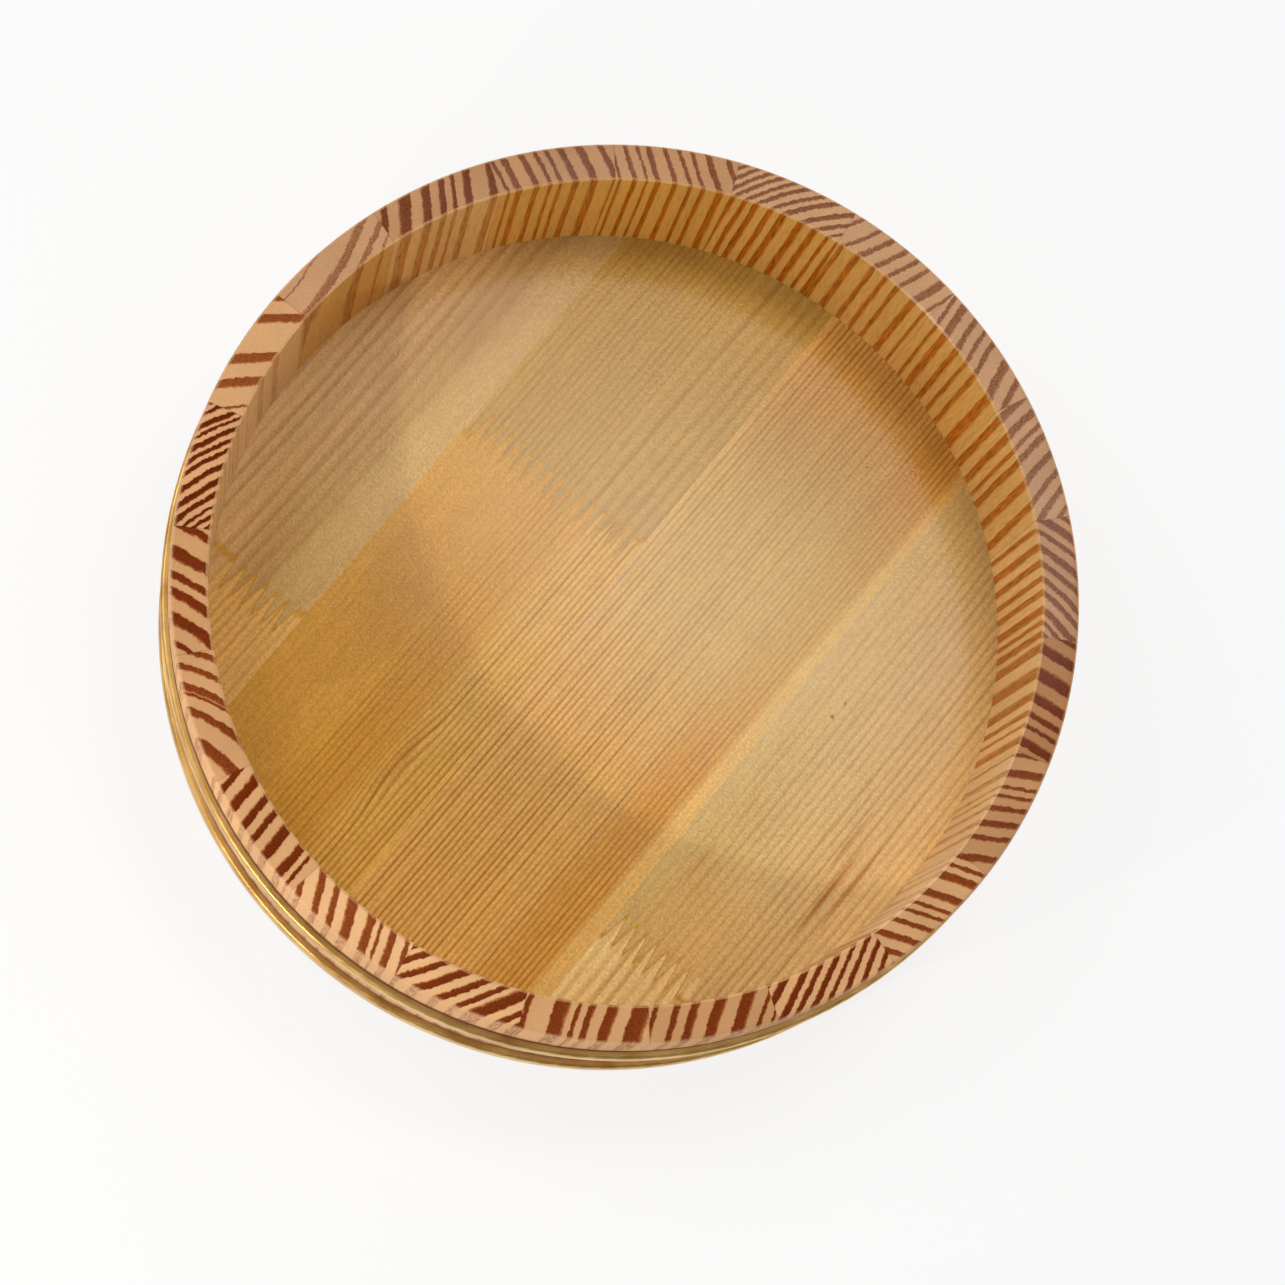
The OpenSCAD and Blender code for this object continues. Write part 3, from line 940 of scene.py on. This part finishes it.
BOARDS = {
    "board_1_upper": board_pine(
        "lacquered_pine_pale_sapwood_1", left=-140, right=-80,
        # painted light: the tints are paler towards the left wall, at -140 and -112 mm, to lighten
        # the wall's shade
        count=[(-140, 0), (-95, 10), (-80, 12)],
        tints=[
            (-140, "#DCB074", 0.6), (-112, "#D3A76A", 0.55), (-98, "#BF975A", 0.5),
            (-90, "#C6A062", 0.12), (-80, "#C6A062", 0.12)],
        late="#A37339", lean=0.02, bow=2.0, wobble=5.0, joint=JOINT_1),
    "board_1_lower": board_pine(
        "lacquered_pine_amber_1", left=-140, right=-80,
        count=[(-140, 0), (-80, 22)],
        tints=[(-140, "#DDAF62", 0.5), (-80, "#DDAF62", 0.5)],
        late="#AF6F21", lean=0.02, bow=0.0, wobble=1.2, joint=JOINT_1),
    "board_2_upper": board_pine(
        "lacquered_pine_tan_2", left=-80, right=-7,
        count=[(-80, 0), (-38, 18), (-7, 25)],
        tints=[(-80, "#BE9548", 0.45), (-40, "#C0984C", 0.45), (-7, "#C0984C", 0.65)],
        late="#945A1D", lean=0.015, bow=0.0, wobble=1.5, joint=JOINT_2),
    "board_2_lower": board_pine(
        "lacquered_pine_amber_2", left=-80, right=-7,
        count=[(-80, 0), (-50, 11), (-7, 32)],
        tints=[
            (-80, "#CE9A44", 0.12), (-52, "#CE9A44", 0.15), (-46, "#CF9A40", 0.5),
            (-30, "#CF9A40", 0.6), (-24, "#D8A850", 0.85), (-7, "#D8A850", 0.9)],
        late="#96550F", lean=0.02, bow=0.0, wobble=1.0, joint=JOINT_2,
        # painted shade: the dark oval at (-62, -42) darkens the base in the shade of the near rim
        marks=[
            (-36, -66, 30, 110, "#B8742A", 0.24), (-62, -42, 50, 110, "#A2601E", 0.24),
            (-24, -82, 7, 46, "#A8611A", 0.35)],
        knot=(-25, -85)),
    "board_3": board_pine(
        "lacquered_pine_fine_3", left=-7.2, right=65.6,
        count=[(-7.2, 0), (65.6, 37)],
        tints=[
            (-7.2, "#DDAB5A", 0.85), (42, "#DDAB5A", 0.85), (47, "#D49D49", 0.85),
            (60, "#D49D49", 0.85), (61.5, "#E0B264", 0.15), (65.6, "#E0B264", 0.15)],
        late="#9A5613", lean=0.015, bow=0.0, wobble=0.7,
        # painted shade: the wide dark oval at (24, 104) darkens the top end of the board, where
        # the far wall's shade falls
        marks=[
            (35.8, 100.9, 1.4, 1.6, "#2A1206", 0.95), (52, -40, 16, 90, "#B8741F", 0.20),
            (24, 104, 120, 110, "#9C6020", 0.34), (30, 50, 150, 170, "#B5A25A", 0.4)]),
    "board_4_upper": board_pine(
        "lacquered_pine_pale_sapwood_4", left=65, right=140,
        count=[(65, 0), (140, 26)],
        # painted light: the tints grow paler towards the right wall, from 95 to 140 mm, to lighten
        # the wall's shade
        tints=[
            (65, "#CDAC6B", 0.15), (75, "#CAA867", 0.3), (95, "#D2B073", 0.45),
            (115, "#DCB676", 0.5), (140, "#E6BC78", 0.55)],
        late="#9B682A", lean=0.01, bow=1.0, wobble=3.0, joint=JOINT_4,
        # painted light: the pale oval at (88, -62) lightens the base in the shade of the near rim
        marks=[
            (117, -26, 2.8, 54, "#A8621A", 0.85), (122.3, -18, 2.4, 54, "#A8621A", 0.75),
            (112, -6, 2.0, 36, "#B06C20", 0.6), (76.7, -46, 2.0, 34, "#B06C20", 0.6),
            (78, -20, 2.2, 26, "#BC7A28", 0.4), (81, -52, 2.6, 40, "#BC7A28", 0.45),
            (80.7, 23.7, 2.0, 2.2, "#6E3C14", 0.8), (81.2, 30.2, 1.5, 2.6, "#7A4A20", 0.7),
            (88, -62, 60, 70, "#E8B05C", 0.35)]),
    "board_4_lower": board_pine(
        "lacquered_pine_pale_sapwood_4_low", left=65, right=140,
        count=[(65, 0), (140, 17)],
        tints=[(65, "#ECCB86", 0.2), (72, "#EAC682", 0.55), (140, "#EAC682", 0.35)],
        late="#A26925", lean=0.0, bow=0.0, wobble=2.0, joint=JOINT_4),
}
for name, wood in BOARDS.items():
    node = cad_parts[name]
    dress(node, wood)
print("boards dressed:", len(BOARDS))

# %% [markdown]
# ## Polished brass hoops
# The hoops are thin bands of brass. Rolling and polishing leave fine lines that
# run round the band, so the pattern depends only on height and distance from
# the centre. Brass is a metal: it has no colour of its own under the shine, and
# the gold is the colour of its reflection. Handling has dulled it in patches of
# 14 mm, where the gold is deeper.

# %% Brass
POLISHING_LINE, TARNISH_PATCH = 0.35 * MM, 14 * MM
TARNISH_STARTS, TARNISH_FULL = 0.35, 0.7
BAND_RUN = (0.03, 0.03, 1)           # the polishing lines are long round the band
BRASS_SMOOTH, BRASS_ROUGH = 0.38, 0.50
BRASS_RELIEF = 0.01 * MM
brass, tree = start_material("polished_brass_hoop")
place = add(tree, "ShaderNodeTexCoord").outputs["Object"]
round_band = add(tree, "ShaderNodeVectorMath", {0: place, 1: BAND_RUN}, operation="MULTIPLY")
lines = add(tree, "ShaderNodeTexNoise", {
    "Vector": round_band, "Scale": 1 / POLISHING_LINE, "Detail": 3.0,
})
tarnish = add(tree, "ShaderNodeTexNoise", {
    "Vector": place, "Scale": 1 / TARNISH_PATCH, "Detail": 3.0,
})
dulled = add(tree, "ShaderNodeMapRange", {
    "Value": tarnish, "From Min": TARNISH_STARTS, "From Max": TARNISH_FULL,
})
gold = add(tree, "ShaderNodeMix", {
    0: dulled, 6: linear("#F0C67C"), 7: linear("#CC9A50"),
}, data_type="RGBA")
rough = add(tree, "ShaderNodeMapRange", {
    "Value": lines, "From Min": NOISE_LOW, "From Max": NOISE_HIGH,
    "To Min": BRASS_SMOOTH, "To Max": BRASS_ROUGH,
})
bump = add(tree, "ShaderNodeBump", {"Height": lines, "Strength": 0.2, "Distance": BRASS_RELIEF})
skin = add(tree, "ShaderNodeBsdfPrincipled", {
    "Base Color": gold, "Metallic": 1.0, "Roughness": rough, "Normal": bump,
})
add(tree, "ShaderNodeOutputMaterial", {"Surface": skin})
for name in ("upper_hoop", "lower_hoop"):
    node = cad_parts[name]
    dress(node, brass)
print("hoops dressed, with polishing lines of", POLISHING_LINE / MM, "mm")

# %% [markdown]
# ## The view
# The picture is shown with the plain Standard view transform.

# %% View transform
bpy.context.scene.view_settings.view_transform = "Standard"
